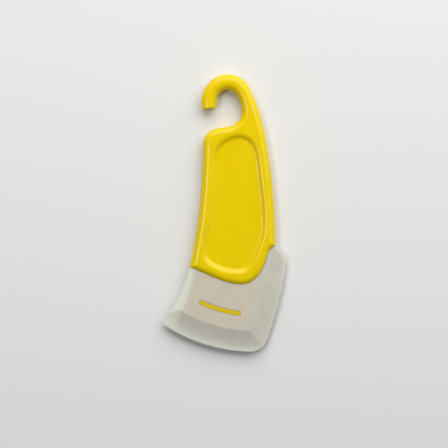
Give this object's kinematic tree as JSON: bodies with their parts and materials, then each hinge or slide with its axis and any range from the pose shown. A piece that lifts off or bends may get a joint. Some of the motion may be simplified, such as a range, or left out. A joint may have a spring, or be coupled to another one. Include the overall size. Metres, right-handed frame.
{
  "type": "pan scraper",
  "caption": "Hand scraper with a moulded plastic handle that ends in an open hanging hook, and a flexible silicone head with a thin curved lip for wiping out pans and plates.",
  "frame": {"origin": "centre of the scraper's outline, on the surface it lies on, with its back down", "axes": "+Y along the handle towards the hook, +X across the head towards its rounded side, +Z out of the front face"},
  "size_m": [0.0736, 0.1666, 0.0086],
  "materials": {
    "handle_plastic": "yellow injection-moulded plastic, glossy, with soft rounded edges",
    "silicone": "translucent milky white silicone rubber, satin, overmoulded"
  },
  "bodies": {
    "root": {"handle": "handle_plastic", "scraper_head": "silicone"}
  },
  "joints": []
}
